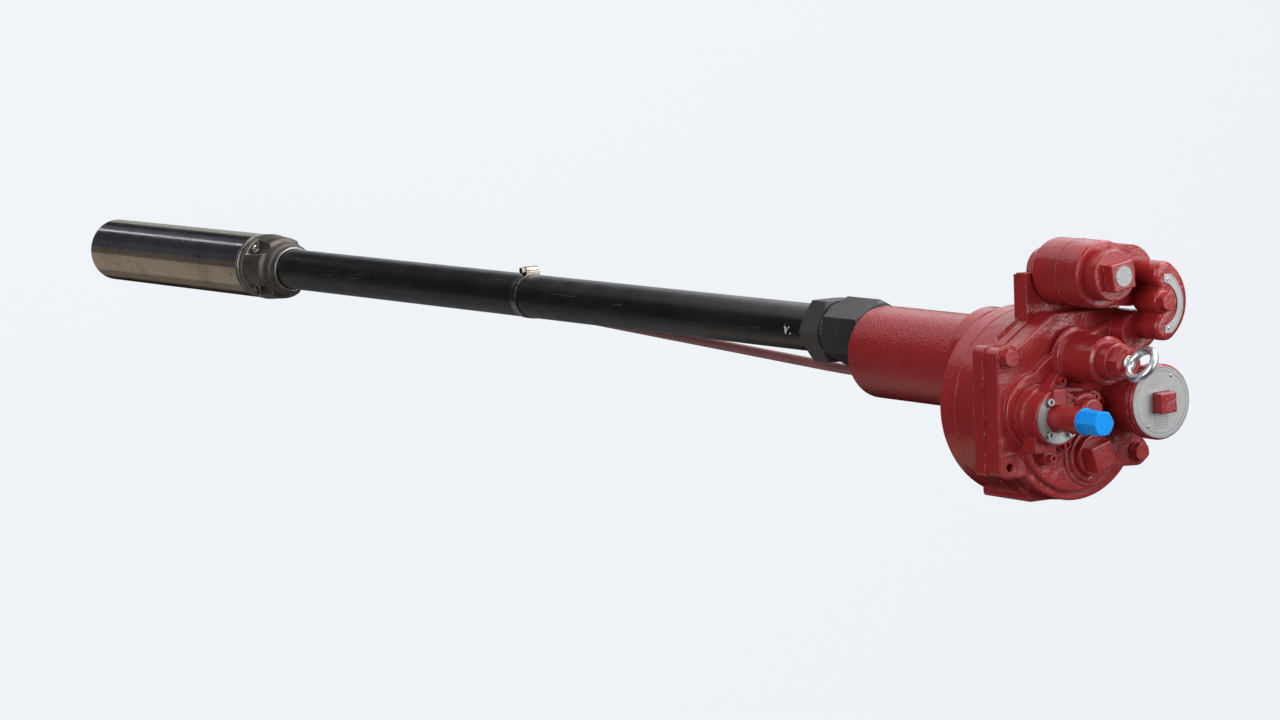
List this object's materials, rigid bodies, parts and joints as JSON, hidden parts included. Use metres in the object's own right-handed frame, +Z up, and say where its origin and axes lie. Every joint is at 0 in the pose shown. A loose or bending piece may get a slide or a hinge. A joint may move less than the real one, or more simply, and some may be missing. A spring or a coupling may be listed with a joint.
{
  "type": "submersible turbine pump",
  "caption": "Submersible turbine pump: red cast head with junction box, valves and lifting eye on a riser, black column pipe with a lock fitting, and a stainless pump and motor unit.",
  "frame": {"origin": "centre of the riser pipe's open lower end", "axes": "+Z up along the pump towards the lifting eye, +X towards the discharge port, -X towards the junction box, -Y towards the square flange's straight edge"},
  "size_m": [0.3102, 0.235, 2.6365],
  "materials": {
    "red_paint": "glossy",
    "column_paint": "satin",
    "nut_black": "matte",
    "stainless": "polished",
    "cast_grey": "as cast",
    "zinc": "bright",
    "plate_metal": "satin",
    "blue_cap": "glossy",
    "steel": "machined",
    "bronze": "machined",
    "seal_rubber": "matte",
    "dark_plastic": "matte",
    "core_steel": "varnished"
  },
  "bodies": {
    "head": {"manifold_casting": "red_paint", "riser_hub": "red_paint", "junction_box": "red_paint", "connector_chamber": "red_paint", "conduit_hub": "red_paint", "riser_pipe": "red_paint", "packer_casting": "red_paint", "valve_barrel": "red_paint", "packer_bolts": "red_paint", "packer_seals": "seal_rubber", "element_body": "red_paint", "element_screws": "red_paint", "ring_plate": "plate_metal", "ring_screws": "steel", "tower_plug": "red_paint", "eye_bolt": "zinc", "connector_sockets": "dark_plastic", "return_tube": "red_paint", "inner_pipe": "steel", "upper_conduit": "steel", "check_spring": "steel", "relief_spring": "steel"},
    "string": {"column_pipe": "column_paint", "lock_body": "nut_black", "lock_seal": "seal_rubber", "lower_conduit": "steel", "clamp_band": "steel", "clamp_housing": "steel", "clamp_screw": "steel", "discharge_head": "cast_grey", "head_screws": "steel", "pump_shell": "stainless", "motor_stator": "core_steel", "shaft_bearings": "bronze", "bearing_spiders": "steel", "diffusers": "dark_plastic", "inlet_bell": "cast_grey"},
    "rotor": {"rotor_core": "core_steel", "pump_shaft": "steel", "impellers": "dark_plastic"},
    "lock_ring": {"ferrule": "bronze"},
    "lock_turn": {"lock_nut": "nut_black"},
    "check_valve": {"check_poppet": "steel"},
    "relief_valve": {"relief_poppet": "steel"},
    "relief_rise": {"relief_seal": "seal_rubber"},
    "relief_turn": {"relief_screw": "steel", "blue_cap": "blue_cap"},
    "cover_rise": {"cover_seal": "seal_rubber"},
    "cover_turn": {"check_cover": "red_paint", "cover_plate": "plate_metal"},
    "box_plug_rise": {"box_plug_seal": "seal_rubber"},
    "box_plug_turn": {"box_plug": "red_paint", "box_plug_plate": "plate_metal"},
    "port_plug_rise": {"port_plug_seal": "seal_rubber"},
    "port_plug_turn": {"port_plug": "red_paint"},
    "yoke_lift": {"yoke": "red_paint", "yoke_plate": "plate_metal", "connector_plugs": "dark_plastic"},
    "yoke_bolt_turn": {"yoke_bolt": "red_paint"}
  },
  "joints": [
    {"name": "column_slide", "type": "slide", "parent": "head", "child": "string", "axis": [0, 0, -1], "range_m": [0, 0.12]},
    {"name": "rotor_spin", "type": "hinge", "parent": "string", "child": "rotor", "pos_m": [-0.02, 0, -1.74], "axis": [0, 0, 1], "continuous": true},
    {"name": "lock_nut_rise", "type": "slide", "parent": "string", "child": "lock_ring", "axis": [0, 0, -1], "range_m": [0, 0.006]},
    {"name": "lock_nut_turn", "type": "hinge", "parent": "lock_ring", "child": "lock_turn", "pos_m": [-0.02, 0, -0.107], "axis": [0, 0, -1], "range_deg": [0, 1080.11]},
    {"name": "check_lift", "type": "slide", "parent": "head", "child": "check_valve", "axis": [0, 0, 1], "range_m": [0, 0.012], "stiffness_N_per_m": 900, "springref_m": -0.008, "deforming": ["check_spring"]},
    {"name": "relief_lift", "type": "slide", "parent": "head", "child": "relief_valve", "axis": [0, 0, 1], "range_m": [0, 0.004], "stiffness_N_per_m": 1500, "springref_m": -0.008, "deforming": ["relief_spring"]},
    {"name": "relief_screw_rise", "type": "slide", "parent": "head", "child": "relief_rise", "axis": [0, 0, 1], "range_m": [0, 0.008]},
    {"name": "relief_screw_turn", "type": "hinge", "parent": "relief_rise", "child": "relief_turn", "pos_m": [0.043, -0.058, 0.48], "axis": [0, 0, 1], "range_deg": [0, 1440.14]},
    {"name": "check_cover_rise", "type": "slide", "parent": "head", "child": "cover_rise", "axis": [0, 0, 1], "range_m": [0, 0.012]},
    {"name": "check_cover_turn", "type": "hinge", "parent": "cover_rise", "child": "cover_turn", "pos_m": [0.0352, 0.0775, 0.425], "axis": [0, 0, 1], "range_deg": [0, 1440.14]},
    {"name": "box_plug_rise", "type": "slide", "parent": "head", "child": "box_plug_rise", "axis": [0, 0, 1], "range_m": [0, 0.012]},
    {"name": "box_plug_turn", "type": "hinge", "parent": "box_plug_rise", "child": "box_plug_turn", "pos_m": [-0.1195, 0, 0.445], "axis": [0, 0, 1], "range_deg": [0, 1440.14]},
    {"name": "port_plug_rise", "type": "slide", "parent": "head", "child": "port_plug_rise", "axis": [0, 0, 1], "range_m": [0, 0.01]},
    {"name": "port_plug_turn", "type": "hinge", "parent": "port_plug_rise", "child": "port_plug_turn", "pos_m": [0.0955, 0.0145, 0.395], "axis": [0, 0, 1], "range_deg": [0, 1440.14]},
    {"name": "yoke_rise", "type": "slide", "parent": "head", "child": "yoke_lift", "axis": [0, 0, 1], "range_m": [0, 0.014]},
    {"name": "yoke_bolt_turn", "type": "hinge", "parent": "yoke_lift", "child": "yoke_bolt_turn", "pos_m": [-0.084, 0.071, 0.45], "axis": [0, 0, 1], "range_deg": [0, 2880.29]}
  ],
  "couplings": [
    {"joint": "lock_nut_turn", "follows": "lock_nut_rise", "rad_per_m": 3141.6},
    {"joint": "relief_screw_turn", "follows": "relief_screw_rise", "rad_per_m": 3141.6},
    {"joint": "check_cover_turn", "follows": "check_cover_rise", "rad_per_m": 2094.4},
    {"joint": "box_plug_turn", "follows": "box_plug_rise", "rad_per_m": 2094.4},
    {"joint": "port_plug_turn", "follows": "port_plug_rise", "rad_per_m": 2513.3},
    {"joint": "yoke_bolt_turn", "follows": "yoke_rise", "rad_per_m": 3590.4}
  ]
}
